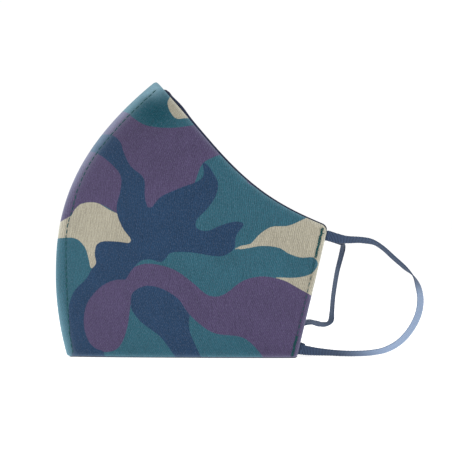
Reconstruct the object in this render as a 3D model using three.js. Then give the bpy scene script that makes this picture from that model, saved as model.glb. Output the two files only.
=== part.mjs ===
// A sewn cloth face mask with two elastic ear loops, standing open on its straight lower edge.
// Millimetres, +Z up. The nose points to -Y, and the wearer's left is +X.
// The origin is on the resting plane, under the middle of the cloth's bounding box.
import * as THREE from "three";

// ---- Driving sizes -------------------------------------------------------------------------

const HEIGHT = 131; // nose tip above the lower edge
const DEPTH = 129.4; // foremost point of the centre seam to the upper ear corner
const EAR_HEIGHT = 62; // upper ear corner above the lower edge
const EAR_LEAN = 14.7; // how far the ear edge leans back over its height
const FRONT_HEIGHT = 38.7; // height of the centre seam's foremost point
const NOSE_SETBACK = 46.9; // nose tip behind the foremost point
const CHIN_SETBACK = 5.6; // chin behind the foremost point
const SEAM_CURVE = 2.4; // power of the seam's curve above the foremost point
const TOP_SAG = 7.7; // how far the upper edge dips under a straight line
const TOP_SKEW = 1.4; // above 1 moves that dip towards the ear

const CHEEK_HALF_WIDTH = 50; // where the cheeks level off, from the middle
const CHEEK_ROUNDING = 45; // distance over which they round out from the seam

const SHELL_THICKNESS = 0.7; // printed outer cloth
const LINING_THICKNESS = 0.5; // plain inner cloth
const LINING_PEEK = 1; // lining standing above the shell's upper edge
const CLEARANCE = 0.3; // between pieces that touch on the real mask

const FLEX_FOOT_Y = -4; // bending line of each cheek, where it meets the lower edge
const FLEX_LEAN = 0.3; // how far that line leans back, per unit of height
const FLEX_GAP = 1.6; // open strip along the bending line between the stiff halves

const SEAM_STITCH_INSET = 4.8; // topstitching behind the centre seam
const HEM_STITCH_INSET = 2.5; // topstitching in front of the ear edge
const THREAD_WIDTH = 0.6;
const THREAD_HEIGHT = 0.4;
const TACK_WIDTH = 1.3; // bar tacks that hold the elastic's ends
const TACK_LENGTH_TOP = 14;
const TACK_LENGTH_BOTTOM = 9;
const TACK_MARGIN = 1.2; // tacks and stitching end this far from the cloth's corners

const LOOP_WIDTH = 5; // flat elastic
const LOOP_THICKNESS = 0.9;
const LOOP_GAP = 0.8; // the elastic's free part starts this far behind the ear edge
const LOOP_END_INSET = 4.1; // from the ear edge's corners to the middle of the elastic's ends
const SEWN_LENGTH = 7; // of each end that is sewn in between shell and lining
const POCKET_LENGTH = 24; // shell and lining part over this length to hold the sewn-in ends

const ROWS = 12; // facets of a cloth piece, from the lower to the upper edge
const COLUMNS = 9; // and from front to back
const THREAD_STEP = 4; // length of one facet of a thread
const LOOP_STEPS = 60; // facets of an ear loop

// ---- The elastic's routes ------------------------------------------------------------------
// Each point is [out, back, up, roll]. Out and back are measured from the straight line between
// the elastic's two ends, and up is the share of the way up that line. Roll turns the elastic
// about its own run, in degrees, from lying flat in the loop's own plane.

const LEFT_LOOP_ROUTE = [
  [0, 0, 1, 0],
  [0.4, 4.2, 0.98, 22],
  [1.5, 9.2, 0.965, 44],
  [2.9, 16.1, 0.961, 56],
  [4.6, 22.2, 0.942, 60],
  [5.6, 27.2, 0.892, 60],
  [6.7, 33.5, 0.805, 58],
  [7.6, 39.4, 0.725, 60],
  [8.3, 44.7, 0.647, 84],
  [8.8, 48.3, 0.55, 114],
  [9.2, 50.7, 0.441, 120],
  [9.1, 51.3, 0.305, 122],
  [8.9, 49.2, 0.167, 121],
  [8.4, 45.3, 0.063, 121],
  [7.5, 39.9, 0, 122],
  [6.1, 33.7, -0.026, 123],
  [4.5, 26.8, -0.034, 124],
  [3, 20, -0.033, 126],
  [1.7, 13.7, -0.026, 130],
  [0.7, 7.5, -0.018, 142],
  [0.2, 3, -0.009, 162],
  [0, 0, 0, 180],
];
const RIGHT_LOOP_ROUTE = [
  [0, 0, 1, 0],
  [0.2, 3, 0.985, 8],
  [2.5, 6.3, 0.965, 24],
  [7.7, 8.2, 0.953, 46],
  [15.2, 9, 0.95, 56],
  [23.4, 9.3, 0.95, 56],
  [31.8, 9.8, 0.938, 50],
  [37.8, 10.4, 0.888, 44],
  [40.9, 10.5, 0.8, 40],
  [42.1, 10.4, 0.68, 38],
  [42.3, 10.8, 0.55, 38],
  [42.1, 11.5, 0.42, 38],
  [41.6, 12.5, 0.3, 40],
  [39.6, 12.8, 0.225, 52],
  [35.6, 10.4, 0.198, 70],
  [30.6, 6.6, 0.202, 78],
  [25.2, 2.2, 0.215, 70],
  [20, -2.2, 0.185, 56],
  [15.6, -4.8, 0.11, 44],
  [11.4, -4.6, 0.03, 32],
  [7.4, -1.6, -0.02, 20],
  [3.8, 1.6, -0.025, 12],
  [0.8, 2.2, -0.016, 4],
  [0, 0, 0, 0],
];

// ---- Outline of one half, seen from the side -----------------------------------------------

const FRONT_Y = -DEPTH / 2;
const BACK_Y = DEPTH / 2;
const NOSE = { y: FRONT_Y + NOSE_SETBACK, z: HEIGHT };
const EAR_TOP = { y: BACK_Y, z: EAR_HEIGHT };
const TOP_CHORD = Math.hypot(EAR_TOP.y - NOSE.y, EAR_TOP.z - NOSE.z);
const TOP_NORMAL = { y: (NOSE.z - EAR_TOP.z) / TOP_CHORD, z: (EAR_TOP.y - NOSE.y) / TOP_CHORD };

// How far back the centre seam lies at a height.
function seamY(z) {
  const above = (z - FRONT_HEIGHT) / (HEIGHT - FRONT_HEIGHT);
  if (above > 0) return FRONT_Y + NOSE_SETBACK * above ** SEAM_CURVE;
  return FRONT_Y + CHIN_SETBACK * (1 - z / FRONT_HEIGHT) ** 2;
}

// The seam's slope, back per unit of height.
function seamSlope(z) {
  const step = 0.01;
  return (seamY(z + step) - seamY(z - step)) / (2 * step);
}

// The upper edge, from the nose at t = 0 to the ear at t = 1, raised by lift.
function topEdge(t, lift = 0) {
  const off = lift - TOP_SAG * Math.sin(Math.PI * Math.max(t, 0) ** TOP_SKEW);
  return {
    y: THREE.MathUtils.lerp(NOSE.y, EAR_TOP.y, t) + off * TOP_NORMAL.y,
    z: THREE.MathUtils.lerp(NOSE.z, EAR_TOP.z, t) + off * TOP_NORMAL.z,
  };
}

const earY = (z) => BACK_Y - EAR_LEAN * (1 - z / EAR_HEIGHT);
const flexY = (z) => FLEX_FOOT_Y + FLEX_LEAN * z;

// The t at which the upper edge crosses a line given as y for each z.
function topEdgeAt(lineY, lift) {
  let low = -0.1;
  let high = 1.1;
  for (let i = 0; i < 40; i++) {
    const t = (low + high) / 2;
    const p = topEdge(t, lift);
    if (p.y < lineY(p.z)) low = t;
    else high = t;
  }
  return (low + high) / 2;
}

// ---- The cloth surface ---------------------------------------------------------------------

// A half rounds out from the seam and levels off at the cheek.
const halfWidth = (behind) => CHEEK_HALF_WIDTH * (1 - Math.exp(-behind / CHEEK_ROUNDING));
const spreadRate = (behind) => (CHEEK_HALF_WIDTH - halfWidth(behind)) / CHEEK_ROUNDING;

// The level shift, inwards and back, that puts a point `depth` under the outer surface.
function inward(behind, z, depth) {
  const rate = spreadRate(behind);
  const level = Math.hypot(1, rate);
  const shift = (depth * Math.hypot(level, rate * seamSlope(z))) / level;
  return { x: -shift / level, y: (shift * rate) / level };
}

// How far behind the seam a layer starts, so that left and right meet in a mitre.
function mitre(z, depth) {
  let behind = 0;
  for (let i = 0; i < 12; i++) {
    const inset = -inward(behind, z, depth).x;
    behind = -CHEEK_ROUNDING * Math.log(1 - inset / CHEEK_HALF_WIDTH);
  }
  return behind;
}

// The point `depth` under the outer surface of one half, from its place in the side view.
function onCloth(side, y, z, depth) {
  const behind = y - seamY(z);
  const shift = inward(behind, z, depth);
  const x = CLEARANCE / 2 + halfWidth(behind) + shift.x;
  return new THREE.Vector3(side * Math.max(x, CLEARANCE / 2), y + shift.y, z);
}

// A solid between two grids of points, outer[i][j] and inner[i][j]. flip turns its faces round.
function slab(outer, inner, flip) {
  const columns = outer.length;
  const rows = outer[0].length;
  const positions = [];
  const quad = (a, b, c, d) => {
    const corners = flip ? [a, c, b, a, d, c] : [a, b, c, a, c, d];
    for (const p of corners) positions.push(p.x, p.y, p.z);
  };
  for (let i = 0; i + 1 < columns; i++) {
    for (let j = 0; j + 1 < rows; j++) {
      quad(outer[i][j], outer[i + 1][j], outer[i + 1][j + 1], outer[i][j + 1]);
      quad(inner[i][j], inner[i][j + 1], inner[i + 1][j + 1], inner[i + 1][j]);
    }
  }
  for (let i = 0; i + 1 < columns; i++) {
    const top = rows - 1;
    quad(inner[i][0], inner[i + 1][0], outer[i + 1][0], outer[i][0]);
    quad(outer[i][top], outer[i + 1][top], inner[i + 1][top], inner[i][top]);
  }
  for (let j = 0; j + 1 < rows; j++) {
    const back = columns - 1;
    quad(outer[0][j], outer[0][j + 1], inner[0][j + 1], inner[0][j]);
    quad(inner[back][j], inner[back][j + 1], outer[back][j + 1], outer[back][j]);
  }
  const geometry = new THREE.BufferGeometry();
  geometry.setAttribute("position", new THREE.Float32BufferAttribute(positions, 3));
  geometry.computeVertexNormals();
  return geometry;
}

// How much further the lining lies under the shell, where the elastic's ends need room.
function pocket(y, z) {
  const within = THREE.MathUtils.clamp((y - earY(z)) / POCKET_LENGTH + 1, 0, 1);
  return (LOOP_THICKNESS + CLEARANCE) * THREE.MathUtils.smoothstep(within, 0, 0.7);
}

// One layer's grid of points between two lines, each a y for every z.
function clothGrid(side, depthAt, frontLine, backLine, lift) {
  const tFront = topEdgeAt(frontLine, lift);
  const tBack = topEdgeAt(backLine, lift);
  const topFront = topEdge(tFront, lift);
  const topBack = topEdge(tBack, lift);
  const at = (u, v) => {
    const zFront = topFront.z * v;
    const zBack = topBack.z * v;
    const top = topEdge(THREE.MathUtils.lerp(tFront, tBack, u), lift);
    const lerp = THREE.MathUtils.lerp;
    // A Coons patch between the two lines, the straight lower edge and the upper edge.
    const y =
      lerp(frontLine(zFront), backLine(zBack), u) +
      lerp(lerp(frontLine(0), backLine(0), u), top.y, v) -
      lerp(lerp(frontLine(0), backLine(0), u), lerp(topFront.y, topBack.y, u), v);
    const z = lerp(zFront, zBack, u) + v * (top.z - lerp(topFront.z, topBack.z, u));
    return onCloth(side, y, z, depthAt(y, z));
  };
  return Array.from({ length: COLUMNS + 1 }, (_, i) =>
    Array.from({ length: ROWS + 1 }, (_, j) => at(i / COLUMNS, j / ROWS)),
  );
}

// A half's front part runs from the centre seam to the bending line, and its cheek from there to
// the ear edge. The seam's end of a layer depends on how deep the layer lies.
const frontPart = {
  front: (depth) => (z) => seamY(z) + mitre(z, depth),
  back: (z) => flexY(z) - FLEX_GAP / 2,
};
const cheekPart = {
  front: () => (z) => flexY(z) + FLEX_GAP / 2,
  back: earY,
};

function shellPiece(side, part) {
  const grid = (depth) => clothGrid(side, () => depth, part.front(depth), part.back, 0);
  return slab(grid(0), grid(SHELL_THICKNESS), side < 0);
}

function liningPiece(side, part) {
  const grid = (depth) => {
    const depthAt = (y, z) => depth + pocket(y, z);
    return clothGrid(side, depthAt, part.front(depth), part.back, LINING_PEEK);
  };
  const depth = SHELL_THICKNESS + CLEARANCE;
  return slab(grid(depth), grid(depth + LINING_THICKNESS), side < 0);
}

// ---- Thread and elastic --------------------------------------------------------------------

// A bar of rectangular section that runs through the points, each { at, across, out, width, height }.
function bar(points) {
  const edge = (p, a, o) =>
    p.at
      .clone()
      .addScaledVector(p.across, (a * p.width) / 2)
      .addScaledVector(p.out, (o * p.height) / 2);
  const outer = points.map((p) => [edge(p, 1, 1), edge(p, -1, 1)]);
  const inner = points.map((p) => [edge(p, 1, -1), edge(p, -1, -1)]);
  return slab(outer, inner, false);
}

// Thread lying on the outer surface along a line, between two heights.
function threadOnCloth(side, lineY, from, to, width) {
  const lift = CLEARANCE + THREAD_HEIGHT / 2;
  const place = (z) => onCloth(side, lineY(z), z, -lift);
  const steps = Math.max(2, Math.round((to - from) / THREAD_STEP));
  const points = [];
  for (let i = 0; i <= steps; i++) {
    const z = THREE.MathUtils.lerp(from, to, i / steps);
    const at = place(z);
    const along = place(z + 1).sub(place(z - 1)).normalize();
    const out = at.clone().sub(onCloth(side, lineY(z), z, 0)).projectOnPlane(along).normalize();
    const across = new THREE.Vector3().crossVectors(along, out);
    points.push({ at, across, out, width, height: THREAD_HEIGHT });
  }
  return bar(points);
}

// The elastic's own depth under the outer surface, where it is sewn in at the ear edge.
const ELASTIC_DEPTH = SHELL_THICKNESS + CLEARANCE + LOOP_THICKNESS / 2;

// The middle of the sewn-in elastic at a height, this far behind the ear edge.
const atEarEdge = (side, z, back) => onCloth(side, earY(z) + back, z, ELASTIC_DEPTH);

// One sewn-in end, which lies in the pocket square to the ear edge.
function sewnEnd(side, z) {
  const across = atEarEdge(side, z + 1, 0).sub(atEarEdge(side, z - 1, 0)).normalize();
  const insets = [SEWN_LENGTH, SEWN_LENGTH / 2, CLEARANCE];
  const points = insets.map((inset) => {
    const level = z + (inset * EAR_LEAN) / EAR_HEIGHT;
    const along = atEarEdge(side, level, 1 - inset).sub(atEarEdge(side, level, -1 - inset));
    const out = new THREE.Vector3().crossVectors(across, along).normalize();
    const at = atEarEdge(side, level, -inset);
    return { at, across, out, width: LOOP_WIDTH, height: LOOP_THICKNESS };
  });
  return bar(points);
}

// The free elastic between its two ends at the ear edge.
function earLoop(side, route) {
  const lower = atEarEdge(side, LOOP_END_INSET, LOOP_GAP);
  const upper = atEarEdge(side, EAR_HEIGHT - LOOP_END_INSET, LOOP_GAP);
  const place = ([out, back, up]) =>
    lower.clone().lerp(upper, up).add(new THREE.Vector3(side * out, back, 0));
  const run = new THREE.CatmullRomCurve3(route.map(place), false, "centripetal");
  const rolls = new THREE.CatmullRomCurve3(
    route.map(([, , , roll], i) => new THREE.Vector3(i, roll, 0)),
    false,
    "centripetal",
  );
  const middle = lower.clone().lerp(upper, 0.5);
  const points = [];
  for (let i = 0; i <= LOOP_STEPS; i++) {
    const at = run.getPoint(i / LOOP_STEPS);
    const along = run.getTangent(i / LOOP_STEPS);
    const roll = THREE.MathUtils.degToRad(rolls.getPoint(i / LOOP_STEPS).y);
    const across = at.clone().sub(middle).projectOnPlane(along).normalize();
    across.applyAxisAngle(along, side * roll);
    const out = new THREE.Vector3().crossVectors(across, along);
    points.push({ at, across, out, width: LOOP_WIDTH, height: LOOP_THICKNESS });
  }
  return bar(points);
}

// ---- Assembly ------------------------------------------------------------------------------

const materials = {
  shell: new THREE.MeshStandardMaterial({ color: 0x35606f, roughness: 0.9, metalness: 0 }),
  lining: new THREE.MeshStandardMaterial({ color: 0x1d2739, roughness: 0.95, metalness: 0 }),
  thread: new THREE.MeshStandardMaterial({ color: 0x2f6b68, roughness: 0.8, metalness: 0 }),
  elastic: new THREE.MeshStandardMaterial({ color: 0x4b6078, roughness: 0.85, metalness: 0 }),
};

const mask = new THREE.Group();

function add(name, geometry, material) {
  const mesh = new THREE.Mesh(geometry, materials[material]);
  mesh.name = name;
  mask.add(mesh);
}

const seamStitchY = (z) => seamY(z) + SEAM_STITCH_INSET;
const hemStitchY = (z) => earY(z) - HEM_STITCH_INSET;
const seamStitchTop = topEdge(topEdgeAt(seamStitchY, 0), 0).z - TACK_MARGIN;
const topTackEnd = topEdge(topEdgeAt(hemStitchY, 0), 0).z - TACK_MARGIN;
const topTackStart = topTackEnd - TACK_LENGTH_TOP;
const bottomTackEnd = TACK_MARGIN + TACK_LENGTH_BOTTOM;

for (const [name, side, route] of [
  ["left", 1, LEFT_LOOP_ROUTE],
  ["right", -1, RIGHT_LOOP_ROUTE],
]) {
  for (const [part, lines] of Object.entries({ front: frontPart, cheek: cheekPart })) {
    add(`shell_${name}_${part}`, shellPiece(side, lines), "shell");
    add(`lining_${name}_${part}`, liningPiece(side, lines), "lining");
  }
  const thread = (line, from, to, width) => threadOnCloth(side, line, from, to, width);
  add(`centre_stitch_${name}`, thread(seamStitchY, TACK_MARGIN, seamStitchTop, THREAD_WIDTH), "thread");
  add(
    `hem_stitch_${name}`,
    thread(hemStitchY, bottomTackEnd + CLEARANCE, topTackStart - CLEARANCE, THREAD_WIDTH),
    "thread",
  );
  add(`bar_tack_${name}_top`, thread(hemStitchY, topTackStart, topTackEnd, TACK_WIDTH), "thread");
  add(
    `bar_tack_${name}_bottom`,
    thread(hemStitchY, TACK_MARGIN, bottomTackEnd, TACK_WIDTH),
    "thread",
  );
  add(`elastic_end_${name}_top`, sewnEnd(side, EAR_HEIGHT - LOOP_END_INSET), "elastic");
  add(`elastic_end_${name}_bottom`, sewnEnd(side, LOOP_END_INSET), "elastic");
  add(`ear_loop_${name}`, earLoop(side, route), "elastic");
}

export default mask;
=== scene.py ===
"""A sewn camouflage face mask with two elastic ear loops, standing on its straight lower edge.

Shapes are worked out in millimetres and become metres where a mesh is made.
The nose points to -Y, up is +Z, and side +1 is the wearer's left, which faces the camera.
"""

import math
import random

import bpy
import numpy as np
from mathutils import Matrix


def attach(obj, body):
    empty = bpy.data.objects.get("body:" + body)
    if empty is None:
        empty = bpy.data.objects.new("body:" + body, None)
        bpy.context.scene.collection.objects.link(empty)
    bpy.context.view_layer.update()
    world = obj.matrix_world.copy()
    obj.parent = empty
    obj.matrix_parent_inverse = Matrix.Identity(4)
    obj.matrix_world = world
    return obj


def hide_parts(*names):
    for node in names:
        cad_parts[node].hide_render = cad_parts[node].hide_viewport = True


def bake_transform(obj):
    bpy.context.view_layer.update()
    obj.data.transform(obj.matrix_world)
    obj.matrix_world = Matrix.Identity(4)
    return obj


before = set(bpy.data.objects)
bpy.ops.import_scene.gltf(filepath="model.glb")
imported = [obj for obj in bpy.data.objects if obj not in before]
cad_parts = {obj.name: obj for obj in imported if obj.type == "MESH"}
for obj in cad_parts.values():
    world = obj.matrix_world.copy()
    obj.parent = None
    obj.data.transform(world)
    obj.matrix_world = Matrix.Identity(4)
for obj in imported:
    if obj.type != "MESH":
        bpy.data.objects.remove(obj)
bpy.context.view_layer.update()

MM = 0.001
SIDES = {"left": 1, "right": -1}

# ---- Sizes of the mask, the same as in the CAD model ----

HEIGHT = 131
DEPTH = 129.4
EAR_HEIGHT = 62
EAR_LEAN = 14.7
FRONT_HEIGHT = 38.7
NOSE_SETBACK = 46.9
CHIN_SETBACK = 5.6
SEAM_CURVE = 2.4
TOP_SAG = 7.7
TOP_SKEW = 1.4
CHEEK_HALF_WIDTH = 50
CHEEK_ROUNDING = 45
SHELL_THICKNESS = 0.7
LINING_THICKNESS = 0.5
CLEARANCE = 0.3
POCKET_LENGTH = 24
LOOP_WIDTH = 5
LOOP_THICKNESS = 0.9
LOOP_GAP = 0.8
LOOP_END_INSET = 4.1
SEWN_LENGTH = 7
ELASTIC_DEPTH = SHELL_THICKNESS + CLEARANCE + LOOP_THICKNESS / 2

# ---- Sizes of the sewing ----

SEWN_OVERLAP = 0.6  # how far a sewn end reaches into its loop, which leaves at a slant
SEAM_GAP = 0.1  # between the left and the right half, along the centre seam
SEAM_SWELL = 0.7  # how far the turned seam stands in front of the CAD's mitre
SWELL_REACH = 8  # how slowly that dies away behind the seam
HEM_STITCH_INSET = 2.4  # the CAD has 2.5
STITCH_LENGTH = 2.5
STITCH_GAP = 0.4
TACK_LENGTH_TOP = 14
TACK_LENGTH_BOTTOM = 9.5  # the CAD has 9
STITCH_DIP = 0.32  # how deep the ends of a stitch go into the cloth
STITCH_PROUD = 0.1  # how far its middle stands off it
STITCH_MARGIN = 1.0  # from the lower edge up to the seam's first stitch and to the lower tack
HEM_STITCH_MARGIN = 1.2
SEAM_STITCH_DROP = 1.3  # from the upper edge down to the last stitch
HEM_STITCH_DROP = 1.4
SEAM_THREAD_RADIUS = 0.25
HEM_THREAD_RADIUS = 0.18
TACK_THREAD_RADIUS = 0.17
FOLD_RADIUS = 0.9  # how far an edge of the shell rolls in
LINING_FOLD_RADIUS = 0.75
SHELL_RIM_DEPTH = 0.55  # where a sheet's outer and inner face meet along its edge
LINING_RIM_DEPTH = 1.0
LINING_RELIEF = 0.8  # the share of the shell's waves that the lining follows
SHELL_CORNERS = (1.2, 1.6, 1.0, 3.2)  # radii: chin, lower ear corner, nose, upper ear corner
LINING_CORNERS = (0.8, 1.0, 1.0, 2.4)
RIB_PITCH = 0.72  # of the elastic's ribs, along its length

# Each point is [out, back, up, roll], as in the CAD model.
LOOP_ROUTES = {
    "left": [
        (0, 0, 1, 0), (0.4, 4.2, 0.98, 22), (1.5, 9.2, 0.965, 44),
        (2.9, 16.1, 0.961, 56), (4.6, 22.2, 0.942, 60), (5.6, 27.2, 0.892, 60),
        (6.7, 33.5, 0.805, 58), (7.6, 39.4, 0.725, 60), (8.3, 44.7, 0.647, 84),
        (8.8, 48.3, 0.55, 114), (9.2, 50.7, 0.441, 120), (9.1, 51.3, 0.305, 122),
        (8.9, 49.2, 0.167, 121), (8.4, 45.3, 0.063, 121), (7.5, 39.9, 0, 122),
        (6.1, 33.7, -0.026, 123), (4.5, 26.8, -0.034, 124), (3, 20, -0.033, 126),
        (1.7, 13.7, -0.026, 130), (0.7, 7.5, -0.018, 142), (0.2, 3, -0.009, 162),
        (0, 0, 0, 180),
    ],
    "right": [
        (0, 0, 1, 0), (0.2, 3, 0.985, 8), (2.5, 6.3, 0.965, 24),
        (7.7, 8.2, 0.953, 46), (15.2, 9, 0.95, 56), (23.4, 9.3, 0.95, 56),
        (31.8, 9.8, 0.938, 50), (37.8, 10.4, 0.888, 44), (40.9, 10.5, 0.8, 40),
        (42.1, 10.4, 0.68, 38), (42.3, 10.8, 0.55, 38), (42.1, 11.5, 0.42, 38),
        (41.6, 12.5, 0.3, 40), (39.6, 12.8, 0.225, 52), (35.6, 10.4, 0.198, 70),
        (30.6, 6.6, 0.202, 78), (25.2, 2.2, 0.215, 70), (20, -2.2, 0.185, 56),
        (15.6, -4.8, 0.11, 44), (11.4, -4.6, 0.03, 32), (7.4, -1.6, -0.02, 20),
        (3.8, 1.6, -0.025, 12), (0.8, 2.2, -0.016, 4), (0, 0, 0, 0),
    ],
}

# ---- Printed shapes: closed outlines as (y, z) in the side view, in millimetres ----

UPPER_PURPLE = [
    (-39.5, 115.5), (-31, 117), (-28, 114.5), (-24, 111.5), (-20.5, 110), (-10, 109), (0, 110),
    (7, 111), (16.5, 97.5), (12, 95.5), (5.5, 92), (-0.5, 78.5), (-19.5, 63), (-33.5, 67.5),
    (-45, 93.5), (-50.5, 101),
]
LEFT_PURPLE = [
    (-67, 89), (-52.5, 101), (-38.5, 98.5), (-26.5, 79.5), (-26.5, 63), (-35, 68.5),
    (-45, 73.5), (-52, 73), (-55, 70.5), (-57, 67.5), (-68, 61.5),
]
LEFT_KHAKI = [
    (-68, 61.5), (-61.5, 64.5), (-57, 67.5), (-55, 70.5), (-52, 73), (-45, 73.5), (-38.5, 70),
    (-29, 65), (-23.5, 56), (-30, 48.5), (-39.5, 45.5), (-47.5, 42), (-48.7, 46), (-50.5, 52),
    (-55, 56.5), (-63, 56.5), (-69, 56),
]
NOSE_KHAKI = [
    (-10.5, 123.5), (-11.5, 121), (-10.7, 117.5), (-9.5, 115.5), (-7.5, 113.5), (-3, 113.5),
    (2.5, 114.5), (-4.5, 127), (-9, 128),
]
RIGHT_KHAKI = [
    (20.5, 51.5), (24, 51.5), (34, 53), (42, 52), (46, 49.5), (52, 47.5), (58, 47.5),
    (60, 44.5), (57, 40), (50, 38), (40, 38), (44.5, 36.5), (54.5, 31), (62, 27.5),
    (73, 41.5), (70.5, 63), (61, 68), (46, 62.5), (38, 62), (32.5, 58.5), (28, 54), (23.5, 53),
]
LOWER_PURPLE = [
    (-44, 2.5), (-51, 5.5), (-54.5, 11), (-55.5, 18.5), (-53.5, 27.5), (-49, 34), (-41.5, 38.5),
    (-33.5, 40.5), (-22, 44.5), (-14, 43.7), (-7.5, 41.5), (1, 35.5), (8.5, 29.5), (14.5, 29.5),
    (24.5, 36.5), (32, 38.5), (35.5, 38.5), (40, 37.8), (46, 36), (54, 33), (66, 24), (63.5, -3.5),
    (51.5, -7), (36.5, -4), (33, 2), (25, 9.5), (10.5, 12), (-0.5, 20.5), (-6, 28), (-14.5, 33),
    (-22, 34), (-28, 30.5), (-29, 24.5), (-30.5, 14.5), (-33, 7), (-36, 3.5),
]
NAVY_DROP = [
    (-29, 28), (-28.5, 23), (-24, 17), (-18.5, 13), (-14.5, 10), (-7.5, 0.5), (-5, -4), (7, -4),
    (5, 0.5), (-0.5, 13), (-0.5, 19.5), (2.5, 27.5), (-10, 37), (-22, 37.5), (-29, 33),
]
MAIN_NAVY = [
    (-51, 103), (-38, 106), (-33, 102), (-32, 98.5), (-28.5, 91), (-22, 85), (-21.5, 76),
    (-19.5, 70.5), (-14.5, 76), (-5, 80.5), (3, 83.5), (5.5, 85.5), (6, 89), (5.5, 93),
    (8.5, 90.5), (10.5, 87.5), (12.8, 83), (12, 77.5), (8, 71), (2.5, 65), (2.5, 61.5),
    (7, 60), (13.5, 62.5), (21, 64.5), (25, 63.5), (22, 59), (21, 56.5), (20.5, 52),
    (17, 49), (13.5, 48), (-1, 50), (-10, 49.5), (-11.5, 47.5), (-13.5, 45.5), (-16, 45.5),
    (-18.5, 46.5), (-23.5, 46), (-29, 40.5), (-31.5, 37), (-35, 37), (-40, 35.5), (-44.5, 32.5),
    (-50, 25), (-51, 15.5), (-48.5, 7.5), (-45, 4), (-41.5, 2.5), (-42, -4), (-55.5, -4),
    (-56.5, 3.5), (-57.5, 9), (-58.3, 18), (-58, 24.5), (-55.5, 31.5), (-50, 37.5),
    (-47.5, 42), (-45.5, 44.5), (-46, 49), (-45, 53.5), (-42.5, 55), (-35, 55), (-29, 54.5),
    (-28.5, 56), (-32, 61), (-35, 69), (-34.5, 74.5), (-33.5, 77.5), (-33, 86), (-37, 91.5),
    (-43.5, 96.5), (-47.5, 98), (-53.5, 97.5),
]
# The camera never sees the other half's print. It is cut from the same cloth turned half round,
# so these shapes fill the part of the turned cloth that the near half doesn't reach.
TURNED_PURPLE = [(26, 84), (40, 79), (52, 86), (58, 100), (50, 111), (38, 105), (30, 97)]
TURNED_KHAKI = [(34, 118), (47, 116), (58, 124), (52, 135), (36, 133)]
TURNED_NAVY = [(12, 104), (24, 101), (34, 108), (46, 104), (60, 112), (50, 120), (30, 118), (16, 116)]
PRINT_LAYERS = {
    "under_navy": [NAVY_DROP],
    "purple": [UPPER_PURPLE, LEFT_PURPLE, LOWER_PURPLE, TURNED_PURPLE],
    "khaki": [LEFT_KHAKI, NOSE_KHAKI, RIGHT_KHAKI, TURNED_KHAKI],
    "navy": [MAIN_NAVY, TURNED_NAVY],
}


# ---- Small helpers ----


def ease(value):
    """A smooth step from 0 to 1, flat at both ends."""
    value = np.clip(value, 0, 1)
    return value * value * (3 - 2 * value)


def as_points(y, z):
    return np.stack([y.ravel(), z.ravel()], axis=-1)


def hump(distance, width):
    """1 at a line or place, falling smoothly to almost nothing at twice the width from it."""
    return np.exp(-((distance / width) ** 2))


def unit(vectors):
    return vectors / np.maximum(np.linalg.norm(vectors, axis=-1, keepdims=True), 1e-12)


def between(first, last, start, end, t):
    """The point at t on a line that is at `first` at `start` and at `last` at `end`."""
    return ((end - t) * first + (t - start) * last) / (end - start)


def smooth_line(points, steps, closed=False):
    """Points along a centripetal Catmull-Rom curve, `steps` for each stretch."""
    points = np.array(points, float)
    count = len(points)
    if closed:
        ring = [points[(i - 1) % count] for i in range(count + 3)]
    else:
        ring = [2 * points[0] - points[1], *points, 2 * points[-1] - points[-2]]
    line = []
    for p0, p1, p2, p3 in zip(ring, ring[1:], ring[2:], ring[3:]):
        gaps = [np.linalg.norm(b - a) for a, b in ((p0, p1), (p1, p2), (p2, p3))]
        t0, t1, t2, t3 = np.cumsum([0] + [max(gap, 1e-4) ** 0.5 for gap in gaps])
        for t in np.linspace(t1, t2, steps, endpoint=False):
            a1 = between(p0, p1, t0, t1, t)
            a2 = between(p1, p2, t1, t2, t)
            a3 = between(p2, p3, t2, t3, t)
            b1 = between(a1, a2, t0, t2, t)
            b2 = between(a2, a3, t1, t3, t)
            line.append(between(b1, b2, t1, t2, t))
    if not closed:
        line.append(points[-1])
    return np.array(line)


def nearest_on_line(points, line, closed=False):
    """Distance from each point to a line of points, and how far along the line that is."""
    starts = line
    ends = np.roll(line, -1, axis=0)
    if not closed:
        starts, ends = line[:-1], line[1:]
    runs = ends - starts
    squares = np.maximum((runs**2).sum(axis=1), 1e-12)
    lengths = np.sqrt(squares)
    before = np.concatenate([[0], np.cumsum(lengths)[:-1]])
    best = np.full(len(points), 1e9)
    along = np.zeros(len(points))
    for start, run, square, length, base in zip(starts, runs, squares, lengths, before):
        share = np.clip((points - start) @ run / square, 0, 1)
        gap = np.hypot(*(points - start - share[:, None] * run).T)
        closer = gap < best
        best[closer] = gap[closer]
        along[closer] = base + share[closer] * length
    return best, along


def signed_distance(points, outline):
    """Distance to a closed outline, negative inside it."""
    curve = smooth_line(outline, 5, closed=True)
    distance, _ = nearest_on_line(points, curve, closed=True)
    ends = np.roll(curve, -1, axis=0)
    inside = np.zeros(len(points), bool)
    y, z = points.T
    for (ay, az), (by, bz) in zip(curve, ends):
        if az == bz:
            continue
        crosses = (az > z) != (bz > z)
        inside ^= crosses & (y < ay + (z - az) * (by - ay) / (bz - az))
    return np.where(inside, -distance, distance)


# ---- The mask's outline and cloth surface, as in the CAD model ----

FRONT_Y = -DEPTH / 2
BACK_Y = DEPTH / 2
NOSE = np.array([FRONT_Y + NOSE_SETBACK, HEIGHT])
EAR_TOP = np.array([BACK_Y, EAR_HEIGHT])
TOP_CHORD = np.hypot(*(EAR_TOP - NOSE))
TOP_NORMAL = np.array([NOSE[1] - EAR_TOP[1], EAR_TOP[0] - NOSE[0]]) / TOP_CHORD


def seam_y(z):
    above = np.maximum((z - FRONT_HEIGHT) / (HEIGHT - FRONT_HEIGHT), 0)
    below = np.maximum(1 - z / FRONT_HEIGHT, 0)
    return FRONT_Y + NOSE_SETBACK * above**SEAM_CURVE + CHIN_SETBACK * below**2


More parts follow.
